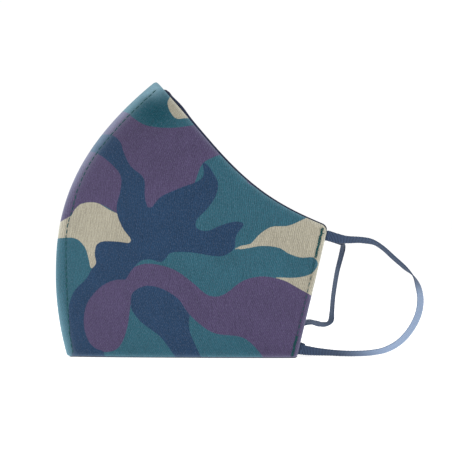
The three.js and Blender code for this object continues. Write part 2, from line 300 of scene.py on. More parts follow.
def seam_slope(z):
    return (seam_y(z + 0.01) - seam_y(z - 0.01)) / 0.02


def ear_y(z):
    return BACK_Y - EAR_LEAN * (1 - z / EAR_HEIGHT)


def top_edge(t, lift=0):
    off = lift - TOP_SAG * np.sin(np.pi * np.maximum(t, 0) ** TOP_SKEW)
    return NOSE + (EAR_TOP - NOSE) * np.asarray(t)[..., None] + np.asarray(off)[..., None] * TOP_NORMAL


def half_width(behind):
    return CHEEK_HALF_WIDTH * (1 - np.exp(-behind / CHEEK_ROUNDING))


def spread_rate(behind):
    return (CHEEK_HALF_WIDTH - half_width(behind)) / CHEEK_ROUNDING


def inward(behind, z, depth):
    rate = spread_rate(behind)
    level = np.hypot(1, rate)
    shift = depth * np.hypot(level, rate * seam_slope(z)) / level
    return -shift / level, shift * rate / level


def mitre(z, depth):
    behind = np.zeros_like(z)
    for _ in range(12):
        inset = -inward(behind, z, depth)[0]
        behind = -CHEEK_ROUNDING * np.log(1 - inset / CHEEK_HALF_WIDTH)
    return behind


def on_cloth(side, y, z, depth):
    """Places `depth` under the outer surface of one half, from places in the side view."""
    behind = y - seam_y(z)
    shift_x, shift_y = inward(behind, z, depth)
    x = SEAM_GAP / 2 + half_width(behind) + shift_x
    forward = SEAM_SWELL * np.exp(-np.maximum(behind, 0) / SWELL_REACH)
    return np.stack([side * np.maximum(x, SEAM_GAP / 2), y + shift_y - forward, z + 0 * y], axis=-1)


def pocket(y, z):
    """How much further the lining lies under the shell, where the elastic's ends need room."""
    within = np.clip((y - ear_y(z)) / POCKET_LENGTH + 1, 0, 1)
    return (LOOP_THICKNESS + CLEARANCE) * ease(within / 0.7)


def line_to_top(line_y, lift=0.0):
    """The share of the upper edge at which a line, given as y for each z, crosses it."""
    low, high = -0.1, 1.1
    for _ in range(40):
        t = (low + high) / 2
        y, z = top_edge(t, lift)
        if y < line_y(z):
            low = t
        else:
            high = t
    return (low + high) / 2


# The centre seam's topstitching wavers a little on its way up.
STITCH_HEIGHTS = [0, 10, 22, 33, 48, 60, 71, 80, 92, 104, 114, 124, 131]
STITCH_INSETS = [3.4, 4.1, 5.0, 5.4, 4.9, 4.1, 4.6, 4.1, 3.9, 4.7, 5.3, 5.5, 5.6]
STITCH_CURVE = smooth_line(list(zip(STITCH_HEIGHTS, STITCH_INSETS)), 8)


def seam_stitch_y(z):
    return seam_y(z) + np.interp(z, STITCH_CURVE[:, 0], STITCH_CURVE[:, 1])


def hem_stitch_y(z):
    return ear_y(z) - HEM_STITCH_INSET


def line_through(line_y, low, high, count=160):
    heights = np.linspace(low, high, count)
    return np.stack([line_y(heights), heights], axis=-1)


SEAM_STITCH_TOP = float(top_edge(line_to_top(seam_stitch_y))[1]) - SEAM_STITCH_DROP
HEM_STITCH_TOP = float(top_edge(line_to_top(hem_stitch_y))[1]) - HEM_STITCH_DROP
SEAM_STITCH_LINE = line_through(seam_stitch_y, STITCH_MARGIN, SEAM_STITCH_TOP)
HEM_STITCH_LINE = line_through(hem_stitch_y, HEM_STITCH_MARGIN, HEM_STITCH_TOP)
SEAM_LINE = line_through(seam_y, 0, HEIGHT)
EAR_LINE = line_through(ear_y, 0, EAR_HEIGHT)
TOP_LINE = top_edge(np.linspace(0, 1, 160))


GROOVE_DEPTH = 0.4  # how far a line of stitches draws the cloth in
GROOVE_WIDTH = 0.55
PUCKER_HEIGHT = 0.1  # of the small gathers beside it
PUCKER_WIDTH = 2.4
WELT_HEIGHT = 0.3  # of the turned-in cloth between the stitches and the edge
WELT_PLACE = 2.2
WELT_WIDTH = math.sqrt(2.6)
WELT_REACH = 5
CALM_AT_SEAM = 14  # the soft waves die away this close to the seam and to the ear edge
CALM_AT_EAR = 9
RIDGE_PLACE = 2.6  # of the soft ridge below the upper edge
RIDGE_WIDTH = 1.9


def relief(y, z, side):
    """How far the cloth stands out from its plain surface: soft waves, seams and puckers."""
    shape = y.shape
    points = as_points(y, z)
    behind = (y - seam_y(z)).ravel()
    calm = ease(behind / CALM_AT_SEAM) * ease((ear_y(z) - y).ravel() / CALM_AT_EAR)
    phase = 0.6 if side > 0 else 2.1
    waves = 0.45 * np.sin(points[:, 0] / 11 + points[:, 1] / 23 + phase)
    waves += 0.3 * np.sin(points[:, 1] / 14 - points[:, 0] / 31 + 2 * phase)
    waves += 0.12 * np.sin(points[:, 0] / 4.7 - points[:, 1] / 6.1 + phase)
    height = waves * calm
    for line, pitch, strength, inner in (
        (SEAM_STITCH_LINE, 4.6, 1.0, SEAM_LINE),
        (HEM_STITCH_LINE, 4.2, 0.7, EAR_LINE),
    ):
        gap, along = nearest_on_line(points, line)
        to_edge, _ = nearest_on_line(points, inner)
        uneven = along + 1.1 * np.sin(along / 5.3 + phase) + 0.8 * np.sin(along / 2.9)
        pucker = np.sin(2 * np.pi * uneven / pitch) + 0.5 * np.sin(2 * np.pi * uneven / (1.7 * pitch) + 1)
        height -= GROOVE_DEPTH * strength * hump(gap, GROOVE_WIDTH)
        height += PUCKER_HEIGHT * strength * pucker * hump(gap, PUCKER_WIDTH)
        welt = np.clip(1 - np.abs(to_edge - gap) / WELT_REACH, 0, 1)
        welt *= (gap < WELT_REACH) * (to_edge < WELT_REACH + 1)
        height += WELT_HEIGHT * strength * welt * hump(gap - WELT_PLACE, WELT_WIDTH)
    to_top, along = nearest_on_line(points, TOP_LINE)
    ridge = 0.22 + 0.1 * np.sin(along / 3.3 + phase) + 0.06 * np.sin(along / 1.7)
    height += ridge * hump(to_top - RIDGE_PLACE, RIDGE_WIDTH) * calm
    return height.reshape(shape)


# ---- Mesh makers ----


def make_mesh(name, points, faces, material, smooth=True):
    mesh = bpy.data.meshes.new(name)
    mesh.from_pydata((np.asarray(points) * MM).tolist(), [], faces)
    mesh.validate()
    mesh.polygons.foreach_set("use_smooth", [smooth] * len(mesh.polygons))
    mesh.materials.append(material)
    piece = bpy.data.objects.new(name, mesh)
    bpy.context.scene.collection.objects.link(piece)
    return piece


def faces_between_rings(rings, sides):
    """Faces that join rings of points into a tube, with a flat cap at both ends."""
    faces = []
    for i in range(rings - 1):
        for j in range(sides):
            k = (j + 1) % sides
            faces.append((i * sides + j, i * sides + k, (i + 1) * sides + k, (i + 1) * sides + j))
    faces.append(tuple(range(sides - 1, -1, -1)))
    faces.append(tuple((rings - 1) * sides + j for j in range(sides)))
    return faces


def add_numbers(piece, name, values):
    attribute = piece.data.attributes.new(name, "FLOAT", "POINT")
    attribute.data.foreach_set("value", np.asarray(values, np.float32).ravel())


def add_vectors(piece, name, values):
    attribute = piece.data.attributes.new(name, "FLOAT_VECTOR", "POINT")
    attribute.data.foreach_set("vector", np.asarray(values, np.float32).ravel())


def spaced(length, edge_start, edge_end, step):
    """Shares from 0 to 1, close together near both ends and `step` apart between."""
    inner_start, inner_end = edge_start[-1], length - edge_end[-1]
    count = max(2, round((inner_end - inner_start) / step))
    middle = np.linspace(inner_start, inner_end, count + 1)[1:-1]
    places = np.concatenate([edge_start, middle, length - np.array(edge_end)[::-1]])
    return places / length


def round_corner(u, v, reach_u, reach_v):
    """Rounds the corner at (0, 0) of a square of shares with quarter ellipses."""
    p = np.clip(1 - u / reach_u, 0, 1)
    q = np.clip(1 - v / reach_v, 0, 1)
    inside = (p > 0) & (q > 0)
    round_u = reach_u * (1 - p * np.sqrt(1 - q * q / 2))
    round_v = reach_v * (1 - q * np.sqrt(1 - p * p / 2))
    return np.where(inside, round_u, u), np.where(inside, round_v, v)


SEAM_LENGTH = 145.0  # of the patch's sides, for spacing its rows and columns
EAR_LENGTH = 63.7
EDGE_LENGTH = 108.0
TOP_LENGTH = 118.0


def cloth_places(front, ear, lower, lift, radii, us, vs):
    """Side-view places of a grid over one half, with round corners.

    radii are for the chin, the lower ear corner, the nose and the upper ear corner."""
    u, v = np.meshgrid(us, vs, indexing="ij")
    chin, low_ear, nose, high_ear = radii
    u, v = round_corner(u, v, chin / EDGE_LENGTH, chin / SEAM_LENGTH)
    w, v = round_corner(1 - u, v, low_ear / EDGE_LENGTH, low_ear / EAR_LENGTH)
    w, s = round_corner(w, 1 - v, high_ear / EDGE_LENGTH, high_ear / EAR_LENGTH)
    u, s = round_corner(1 - w, s, nose / EDGE_LENGTH, nose / SEAM_LENGTH)
    v = 1 - s
    t_front, t_ear = line_to_top(front, lift(0.0)), line_to_top(ear, lift(1.0))
    t = t_front + (t_ear - t_front) * u
    top = top_edge(t, lift(t))
    top_front, top_ear = top_edge(t_front, lift(t_front)), top_edge(t_ear, lift(t_ear))
    z_front = lower + (top_front[1] - lower) * v
    z_ear = lower + (top_ear[1] - lower) * v
    low_front, low_back = front(lower + 0 * v), ear(lower + 0 * v)
    level = low_front + (low_back - low_front) * u
    y = front(z_front) * (1 - u) + ear(z_ear) * u
    y += (top[..., 0] - (top_front[0] * (1 - u) + top_ear[0] * u)) * v
    y += (level - (low_front * (1 - u) + low_back * u)) * (1 - v)
    z = z_front * (1 - u) + z_ear * u
    z += (top[..., 1] - (top_front[1] * (1 - u) + top_ear[1] * u)) * v
    return y, z


def rolled(edge_gap, radius):
    """How far an edge has rolled in, from 1 at the edge itself to 0 at the radius."""
    share = np.clip(1 - edge_gap / radius, 0, 1)
    return 1 - np.sqrt(np.maximum(1 - share**2, 0))


def closed_sheet(name, side, y, z, outer_depth, inner_depth, material):
    """A closed sheet of cloth: an outer and an inner face that meet along the outline."""
    columns, rows = y.shape
    outer = on_cloth(side, y, z, outer_depth).reshape(-1, 3)
    inner = on_cloth(side, y, z, inner_depth).reshape(-1, 3)
    index = np.arange(columns * rows).reshape(columns, rows)
    back = index.copy()
    inside = np.zeros((columns, rows), bool)
    inside[1:-1, 1:-1] = True
    back[inside] = columns * rows + np.arange(inside.sum())
    points = np.concatenate([outer, inner[inside.ravel()]])
    faces = []
    for grid, turned in ((index, side > 0), (back, side < 0)):
        a, b, c, d = grid[:-1, :-1], grid[1:, :-1], grid[1:, 1:], grid[:-1, 1:]
        order = (a, b, c, d) if turned else (a, d, c, b)
        faces += np.stack([part.ravel() for part in order], axis=-1).tolist()
    piece = make_mesh(name, points, faces, material)
    everywhere = np.concatenate([np.arange(columns * rows), np.flatnonzero(inside.ravel())])
    return piece, everywhere


def outline_gap(y, z):
    """Distance from every grid point to the grid's own outline, in the side view."""
    grid = np.stack([y, z], axis=-1)
    ring = np.concatenate([grid[:, 0], grid[-1, 1:], grid[-2::-1, -1], grid[0, -2:0:-1]])
    gap, _ = nearest_on_line(as_points(y, z), ring, closed=True)
    return gap.reshape(y.shape)


CLOTH_RUN = np.cumsum(np.hypot(1, spread_rate(np.arange(0, 140, 0.5)))) * 0.5


def weave_place(y, z):
    """A place measured along the cloth, in millimetres, for the materials."""
    across = np.interp(y - seam_y(z), np.arange(0, 140, 0.5), CLOTH_RUN)
    return np.stack([across, z, 0 * z], axis=-1).reshape(-1, 3)


# ---- Materials ----


def linear(red, green, blue):
    """A colour given as 0 to 255, as a shader needs it."""
    def one(value):
        value /= 255
        return value / 12.92 if value <= 0.04045 else ((value + 0.055) / 1.055) ** 2.4

    return (one(red), one(green), one(blue), 1.0)


class Nodes:
    """A material's node tree with short ways to add and link nodes."""

    def __init__(self, name):
        self.material = bpy.data.materials.new(name)
        self.material.use_nodes = True
        self.tree = self.material.node_tree
        self.shader = next(n for n in self.tree.nodes if n.type == "BSDF_PRINCIPLED")

    def set(self, socket, value):
        if hasattr(value, "links"):
            self.tree.links.new(value, socket)
        else:
            socket.default_value = value

    def add(self, kind, *values, **settings):
        node = self.tree.nodes.new(kind)
        for key, value in settings.items():
            setattr(node, key, value)
        for socket, value in zip(node.inputs, values):
            if value is not None:
                self.set(socket, value)
        return node

    def math(self, operation, *values):
        return self.add("ShaderNodeMath", *values, operation=operation).outputs[0]

    def attribute(self, name, output="Fac"):
        return self.add("ShaderNodeAttribute", attribute_name=name).outputs[output]

    def mix(self, share, first, second, blend_type="MIX"):
        node = self.add("ShaderNodeMix", data_type="RGBA", blend_type=blend_type)
        self.set(node.inputs["Factor"], share)
        colours_in = [socket for socket in node.inputs if socket.type == "RGBA"]
        self.set(colours_in[0], first)
        self.set(colours_in[1], second)
        return next(socket for socket in node.outputs if socket.type == "RGBA")

    def scaled(self, vector, scale, turn=0.0):
        node = self.add("ShaderNodeMapping", vector)
        node.inputs["Rotation"].default_value = (0, 0, turn)
        node.inputs["Scale"].default_value = scale
        return node.outputs[0]

    def noise(self, vector, scale=1.0, detail=2.0, roughness=0.5):
        node = self.add("ShaderNodeTexNoise")
        self.set(node.inputs["Vector"], vector)
        node.inputs["Scale"].default_value = scale
        node.inputs["Detail"].default_value = detail
        node.inputs["Roughness"].default_value = roughness
        return node.outputs["Fac"]

    def remap(self, value, *limits):
        """A value between the first two limits, moved to between the last two."""
        return self.add("ShaderNodeMapRange", value, *limits).outputs[0]

    def stripes(self, value, pitch):
        """A sine from 0 to 1 along a value in millimetres."""
        turned = self.math("MULTIPLY", value, 2 * math.pi / pitch)
        return self.math("MULTIPLY_ADD", self.math("SINE", turned), 0.5, 0.5)

    def bump(self, height, strength, distance):
        node = self.add("ShaderNodeBump")
        node.inputs["Strength"].default_value = strength
        node.inputs["Distance"].default_value = distance
        self.set(node.inputs["Height"], height)
        self.set(self.shader.inputs["Normal"], node.outputs["Normal"])

    def finish(self, colour, roughness, sheen=0.0, sheen_tint=(1, 1, 1, 1), sheen_roughness=0.5):
        self.set(self.shader.inputs["Base Color"], colour)
        self.set(self.shader.inputs["Roughness"], roughness)
        self.shader.inputs["Specular IOR Level"].default_value = 0.12
        self.shader.inputs["Sheen Weight"].default_value = sheen
        self.shader.inputs["Sheen Roughness"].default_value = sheen_roughness
        self.shader.inputs["Sheen Tint"].default_value = sheen_tint
        return self.material


def twill(nodes, place):
    """The cotton's woven texture as a height from 0 to 1: a diagonal twill over uneven yarns."""
    parts = nodes.add("ShaderNodeSeparateXYZ", place).outputs
    wobble = nodes.noise(nodes.scaled(place, (0.25, 0.25, 1)), 1, 2)
    across = nodes.math("MULTIPLY_ADD", wobble, 1.6, parts[0])
    diagonal = nodes.math("MULTIPLY_ADD", parts[1], 0.34, across)
    rib = nodes.stripes(diagonal, 0.95)
    yarn = nodes.stripes(parts[1], 0.6)
    streak = nodes.noise(nodes.scaled(place, (1.15, 0.16, 1), 0.2), 1, 3, 0.6)
    woven = nodes.math("MULTIPLY_ADD", yarn, 0.25, nodes.math("MULTIPLY", rib, 0.75))
    return nodes.math("MULTIPLY_ADD", streak, 0.9, nodes.math("MULTIPLY", woven, 0.55))


def camo_cloth():
    nodes = Nodes("camo_cotton_twill")
    place = nodes.attribute("weave", "Vector")
    height = twill(nodes, place)
    ragged = nodes.noise(nodes.scaled(place, (1.6, 1.6, 1)), 1, 2)
    ragged = nodes.math("MULTIPLY_ADD", ragged, 0.5, -0.25)
    # painted shade near the nose: the teal turns deeper and darker there
    colour = nodes.mix(nodes.attribute("deep"), linear(50, 98, 114), linear(6, 80, 96))
    for layer, ink in (
        ("under_navy", linear(40, 67, 98)),
        ("purple", linear(84, 73, 106)),
        ("khaki", linear(178, 172, 153)),
        ("navy", linear(37, 65, 96)),
    ):
        edge = nodes.math("ADD", nodes.attribute(layer), ragged)
        colour = nodes.mix(nodes.remap(edge, 0.14, -0.14, 0.0, 1.0), colour, ink)
    fleck = nodes.noise(nodes.scaled(place, (1.5, 1.1, 1)), 1, 2, 0.7)
    grain = nodes.remap(height, 0.4, 1.05, 0.72, 1.2)
    flecked = nodes.remap(fleck, 0.3, 0.7, 0.8, 1.14)
    grain = nodes.math("MULTIPLY", grain, flecked)
    blotch = nodes.noise(nodes.scaled(place, (0.06, 0.06, 1)), 1, 3)
    patchy = nodes.remap(blotch, 0.3, 0.7, 0.94, 1.06)
    # painted highlight along the seam, the edges and the nose's tip: it brightens the cloth and mixes in a
    # pale teal
    painted_highlight = nodes.attribute("painted_highlight")
    highlight_boost = nodes.math("MULTIPLY_ADD", painted_highlight, 2.4, 1.0)
    # the tone attribute holds painted shade, and the factor on the next line adds the painted highlight
    tone_and_painted_light = nodes.math("MULTIPLY", nodes.math("MULTIPLY", grain, patchy), nodes.attribute("tone_and_painted_light"))
    tone_and_painted_light = nodes.math("MULTIPLY", tone_and_painted_light, highlight_boost)
    shade = nodes.add("ShaderNodeCombineColor", tone_and_painted_light, tone_and_painted_light, tone_and_painted_light).outputs[0]
    colour = nodes.mix(1.0, colour, shade, "MULTIPLY")
    fibres = nodes.noise(nodes.scaled(place, (1.9, 1.3, 1), 0.5), 1, 3, 0.7)
    lint = nodes.remap(fibres, 0.5, 0.85, 0.0, 0.24)
    colour = nodes.mix(lint, colour, linear(160, 166, 190))
    colour = nodes.mix(nodes.math("MULTIPLY", painted_highlight, 0.55), colour, linear(200, 222, 232))
    nodes.bump(height, 0.5, 0.00016)
    return nodes.finish(colour, 0.9, sheen=0.05, sheen_tint=(0.9, 0.93, 1, 1))


def lining_cloth():
    nodes = Nodes("navy_lining_cotton")
    place = nodes.attribute("weave", "Vector")
    parts = nodes.add("ShaderNodeSeparateXYZ", place).outputs
    warp = nodes.stripes(parts[0], 0.55)
    weft = nodes.stripes(parts[1], 0.55)
    plain = nodes.math("MULTIPLY", warp, weft)
    slub = nodes.noise(nodes.scaled(place, (0.12, 1.3, 1)), 1, 3, 0.6)
    height = nodes.math("MULTIPLY_ADD", slub, 0.7, nodes.math("MULTIPLY", plain, 0.6))
    lint = nodes.noise(nodes.scaled(place, (0.5, 0.5, 1)), 1, 4, 0.7)
    colour = nodes.mix(height, linear(24, 30, 50), linear(38, 46, 72))
    pale = nodes.remap(lint, 0.62, 0.8, 0.0, 0.16)
    colour = nodes.mix(pale, colour, linear(92, 100, 126))
    nodes.bump(height, 0.5, 0.00015)
    return nodes.finish(colour, 0.93, sheen=0.12, sheen_tint=(0.8, 0.86, 1, 1))


def sewing_thread():
    nodes = Nodes("teal_sewing_thread")
    place = nodes.add("ShaderNodeTexCoord").outputs["Object"]
    twist = nodes.add("ShaderNodeTexWave", bands_direction="DIAGONAL")
    nodes.set(twist.inputs["Vector"], place)
    twist.inputs["Scale"].default_value = 900
    twist.inputs["Distortion"].default_value = 1.5
    fibre = nodes.noise(place, 2600, 3)
    colour = nodes.mix(twist.outputs["Fac"], linear(14, 60, 62), linear(38, 94, 96))
    colour = nodes.mix(fibre, colour, linear(26, 78, 82))
    nodes.bump(twist.outputs["Fac"], 0.4, 0.00008)
    return nodes.finish(colour, 0.7, sheen=0.1, sheen_tint=(0.7, 1, 1, 1))


def ribbed_elastic():
    """The ribs run across the ribbon; its dark face is coarser, and its pale colour is a painted highlight
    on the outer face.
    """
    nodes = Nodes("slate_ribbed_elastic")
    place = nodes.attribute("ribbon", "Vector")
    parts = nodes.add("ShaderNodeSeparateXYZ", place).outputs
    rib = nodes.stripes(parts[1], RIB_PITCH)
    cord = nodes.stripes(parts[0], 0.86)
    fuzz = nodes.noise(nodes.scaled(place, (3, 3, 3)), 1, 3)
    # painted highlight: how far the pale colours below cover the dark face
    elastic_highlight = nodes.attribute("elastic_highlight")
    dark = nodes.mix(rib, linear(12, 22, 40), linear(66, 84, 114))
    pale = nodes.mix(cord, linear(126, 147, 178), linear(166, 182, 207))
    pale = nodes.mix(nodes.math("MULTIPLY", rib, 0.25), pale, linear(112, 136, 168))
    colour = nodes.mix(elastic_highlight, dark, pale)
    colour = nodes.mix(nodes.math("MULTIPLY", fuzz, 0.14), colour, linear(104, 124, 152))
    height = nodes.math("MULTIPLY_ADD", cord, 0.4, nodes.math("MULTIPLY", rib, 0.6))
    nodes.bump(height, 0.5, 0.0002)
    return nodes.finish(colour, 0.8, sheen=0.2, sheen_tint=(0.85, 0.92, 1, 1))


CAMO = camo_cloth()
LINING = lining_cloth()
THREAD = sewing_thread()
ELASTIC = ribbed_elastic()


# ---- Camera, at the photograph's angle ----


def add_camera():
    data = bpy.data.cameras.new("camera")
    data.lens = 667
    data.sensor_width = 36
    data.clip_end = 200
    camera = bpy.data.objects.new("camera", data)
    camera.location = (4.0, 0.0166, 0.0624)
    camera.rotation_euler = (math.pi / 2, 0, math.pi / 2)
    bpy.context.scene.collection.objects.link(camera)
    bpy.context.scene.camera = camera


add_camera()


# ---- Ear loops ----

RIBBON_CORDS = 5  # rubber cords that show as ridges along the elastic


def at_ear_edge(side, z, back):
    return on_cloth(side, ear_y(z) + back, np.float64(z), ELASTIC_DEPTH)


def ribbon_section(count=22):
    """The elastic's section as shares of its half width and half thickness."""
    angles = np.linspace(0, 2 * np.pi, count, endpoint=False)
    flat, high = np.cos(angles), np.sin(angles)
    across = np.sign(flat) * np.abs(flat) ** 0.75
    ridge = 0.82 + 0.18 * np.cos(across * np.pi * RIBBON_CORDS)
    return across, np.sign(high) * np.abs(high) ** 0.45 * ridge


def ribbon(name, centres, acrosses, outs, elastic_highlight, width=LOOP_WIDTH, thickness=LOOP_THICKNESS):
    """A ribbed flat band along a line of centres, closed at both ends.

    The fifth argument gives, for each share of its length, how much painted highlight the outer face
    takes."""
    across_shape, out_shape = ribbon_section()
    count = len(across_shape)
    run = np.concatenate([[0], np.cumsum(np.linalg.norm(np.diff(centres, axis=0), axis=1))])
    rib = np.cos(2 * np.pi * run / RIB_PITCH)
    half_widths = width / 2 * (1 + 0.045 * rib - 0.045)
    half_heights = thickness / 2 * (0.9 + 0.1 * rib)
    rings = (
        centres[:, None]
        + acrosses[:, None] * (across_shape[None, :, None] * half_widths[:, None, None])
        + outs[:, None] * (out_shape[None, :, None] * half_heights[:, None, None])
    )
    points = rings.reshape(-1, 3)
    piece = make_mesh(name, points, faces_between_rings(len(centres), count), ELASTIC)
    across = np.tile(across_shape * width / 2, len(centres))
    out = np.tile(out_shape * thickness / 2, len(centres))
    add_vectors(piece, "ribbon", np.stack([across, np.repeat(run, count), out], axis=-1))
    outer_face = ease(0.5 + 0.7 * out_shape)
    add_numbers(piece, "elastic_highlight", np.repeat(elastic_highlight(run / run[-1]), count) * np.tile(outer_face, len(centres)))
    return piece


def resampled(points, step):
    """Points the same distance apart along a line."""
    run = np.concatenate([[0], np.cumsum(np.linalg.norm(np.diff(points, axis=0), axis=1))])
    places = np.linspace(0, run[-1], max(3, round(run[-1] / step)) + 1)
    return np.stack([np.interp(places, run, column) for column in points.T], axis=-1), run[-1]


ROUTE_STEPS = 30  # for each stretch of a loop's route
RING_STEP = 0.155  # between the ribbon's rings
PATH_SHARE = 8


def ear_loop(name, side):
    route = LOOP_ROUTES[name]
    lower = at_ear_edge(side, LOOP_END_INSET, LOOP_GAP)
    upper = at_ear_edge(side, EAR_HEIGHT - LOOP_END_INSET, LOOP_GAP)
    places = [lower + (upper - lower) * up + np.array([side * out, back, 0]) for out, back, up, _ in route]
    line = smooth_line(places, ROUTE_STEPS)
    rolls = smooth_line([(i, roll, 0) for i, (_, _, _, roll) in enumerate(route)], ROUTE_STEPS)[:, 1]
    both, _ = resampled(np.column_stack([line, rolls]), RING_STEP)
    centres = both[:, :3]
    rolls = np.radians(both[:, 3])
    alongs = unit(np.gradient(centres, axis=0))
    middle = (lower + upper) / 2
    acrosses = centres - middle
    acrosses = unit(acrosses - alongs * (acrosses * alongs).sum(axis=1, keepdims=True))
    turned = acrosses * np.cos(side * rolls)[:, None]
    turned += np.cross(alongs, acrosses) * np.sin(side * rolls)[:, None]
    outs = np.cross(turned, alongs)

    # painted highlight along the middle stretch of the loop, weaker on the far loop
    def elastic_highlight(share):
        lit_stretch = ease((share - 0.36) / 0.08) * (1 - ease((share - 0.66) / 0.22))
        return lit_stretch * (1.0 if side > 0 else 0.2)

    piece = ribbon(f"elastic_loop_{name}", centres, turned, outs, elastic_highlight)
    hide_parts(f"ear_loop_{name}")
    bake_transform(piece)
    path = centres[::PATH_SHARE]
    if (len(centres) - 1) % PATH_SHARE:
        path = np.vstack([path, centres[-1:]])


def sewn_end(name, side, z, part):
    """The end of the elastic that is sewn in between shell and lining."""
    insets = np.linspace(SEWN_LENGTH, -LOOP_GAP - SEWN_OVERLAP, 40)
    levels = z + insets * EAR_LEAN / EAR_HEIGHT * ease(insets / SEWN_LENGTH)
    centres = np.array([at_ear_edge(side, level, -inset) for level, inset in zip(levels, insets)])
    alongs = unit(np.gradient(centres, axis=0))
    across = unit(at_ear_edge(side, z + 1, 0) - at_ear_edge(side, z - 1, 0))
    acrosses = unit(across - alongs * (alongs @ across)[:, None])
    outs = np.cross(acrosses, alongs)
    piece = ribbon(
        f"sewn_elastic_{name}_{part}", centres, acrosses, outs, lambda share: 0 * share,
        width=LOOP_WIDTH * 0.98, thickness=LOOP_THICKNESS * 0.96,
    )
    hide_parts(f"elastic_end_{name}_{part}")
    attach(piece, f"{name}_cheek")


for name, side in SIDES.items():
    ear_loop(name, side)
    sewn_end(name, side, EAR_HEIGHT - LOOP_END_INSET, "top")
    sewn_end(name, side, LOOP_END_INSET, "bottom")


# ---- Shell and lining ----

# Distances from a sheet's edge at which its rows of points lie.
FINE_EDGE = [0, 0.05, 0.16, 0.34, 0.6, 0.95, 1.4, 1.9, 2.4, 2.9, 3.4, 3.9, 4.4, 4.9, 5.4, 6.0, 6.8]
HEM_EDGE = [0, 0.05, 0.16, 0.34, 0.6, 0.95, 1.35, 1.75, 2.15, 2.55, 2.95, 3.4, 4.0, 4.8]
PLAIN_EDGE = [0, 0.05, 0.16, 0.34, 0.6, 0.95, 1.4, 2.0]
TURN = (2.0, 66.0)  # the far half's print is the near half's turned half round about this place
NOSE_SHADE_PLACE = (-17, 117)  # painted shade is darkest here, near the nose
NOSE_SHADE_REACH = 10
SHELL_RAISED = 0.35  # the shell's lower edge stands this far above the lining's
LINING_EAR_INSET = 0.25


def print_place(side, y, z):
    return as_points(y, z) if side > 0 else as_points(2 * TURN[0] - y, 2 * TURN[1] - z)


def finish_sheet(piece, layer, name):
    """Hides the CAD parts that a sheet stands for and bakes its transform into its mesh."""
    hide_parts(f"{layer}_{name}_front", f"{layer}_{name}_cheek")
    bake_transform(piece)


def nose_lift(t):
    """The turned tip of the nose stands a little above the upper edge."""
    return hump(np.asarray(t, float), 0.07)


def painted_highlight_at(points, edge):
    """Painted highlight: how much paler the cloth is painted along the centre seam, along its edges and at
    the nose's tip.
    """
    height = points[:, 1]
    to_seam, _ = nearest_on_line(points, SEAM_LINE)
    band = 0.07 + 0.42 * ease((height - 62) / 45) + 0.22 * (1 - ease(height / 42))
    tip_gap = np.hypot(points[:, 0] - NOSE[0] - 1, height - HEIGHT + 2.5)
    painted_highlight = 0.27 * np.exp(-to_seam / 0.9) + band * hump(to_seam, 3.4)
    painted_highlight += 0.26 * np.exp(-edge / 0.6)
    painted_highlight += 0.3 * hump(tip_gap, 5)
    return np.clip(painted_highlight, 0, 0.5)


def tone_and_painted_shade_at(points, nose_shade):
    """The cloth's overall tone, with painted shade: darker upwards, in the grooves of the stitching and
    near the nose.
    """
    to_stitch, _ = nearest_on_line(points, SEAM_STITCH_LINE)
    to_hem, _ = nearest_on_line(points, HEM_STITCH_LINE)
    # overall tone, with painted shade darker upwards and in the grooves beside the stitching
    tone_and_painted_light = 0.85 - 0.07 * ease((points[:, 1] - 62) / 40)
    tone_and_painted_light -= 0.2 * hump(to_stitch, 0.6) + 0.16 * hump(to_hem, 0.6)
    return tone_and_painted_light - 0.1 * nose_shade


def shell(name, side):
    us = spaced(EDGE_LENGTH, FINE_EDGE, HEM_EDGE, 1.7)
    vs = spaced(SEAM_LENGTH, PLAIN_EDGE, FINE_EDGE, 0.85)
    y, z = cloth_places(
        lambda height: seam_y(height) + mitre(height, SHELL_RIM_DEPTH),
        ear_y, SHELL_RAISED, nose_lift, SHELL_CORNERS, us, vs,
    )
    gap = outline_gap(y, z)
    proud = relief(y, z, side)
    roll = rolled(gap, FOLD_RADIUS)
    swell = 0.16 * hump(gap - 1.3, 1.1)
    outer = SHELL_RIM_DEPTH * roll + (1 - roll) * (-proud - swell)
    inner = SHELL_RIM_DEPTH * roll + (1 - roll) * (SHELL_THICKNESS - proud)
    piece, rows = closed_sheet(f"camo_shell_{name}", side, y, z, outer, inner, CAMO)
    add_vectors(piece, "weave", weave_place(y, z)[rows])
    places = print_place(side, y, z)
    for layer, outlines in PRINT_LAYERS.items():
        nearest = np.min([signed_distance(places, outline) for outline in outlines], axis=0)
        add_numbers(piece, layer, nearest[rows])
    points = as_points(y, z)
    # how much painted shade falls near the nose
    nose_shade = hump(np.hypot(*(points - NOSE_SHADE_PLACE).T), NOSE_SHADE_REACH)
    # painted highlight along the seam, the edges and the nose's tip
    add_numbers(piece, "painted_highlight", painted_highlight_at(points, gap.ravel())[rows])
    # overall tone with painted shade
    add_numbers(piece, "tone_and_painted_light", tone_and_painted_shade_at(points, nose_shade)[rows])
    add_numbers(piece, "deep", nose_shade[rows])
    finish_sheet(piece, "shell", name)


def peek(t):
    """How far the lining shows above the shell along the upper edge, from nose to ear."""
    t = np.asarray(t, float)
    bump = 0.9 * hump(t - 0.06, 0.018)
    rise = 0.5 * hump(t - 0.16, 0.05)
    return 0.75 - 0.2 * t + bump + rise - 1.7 * (1 - ease((t - 0.03) / 0.05))


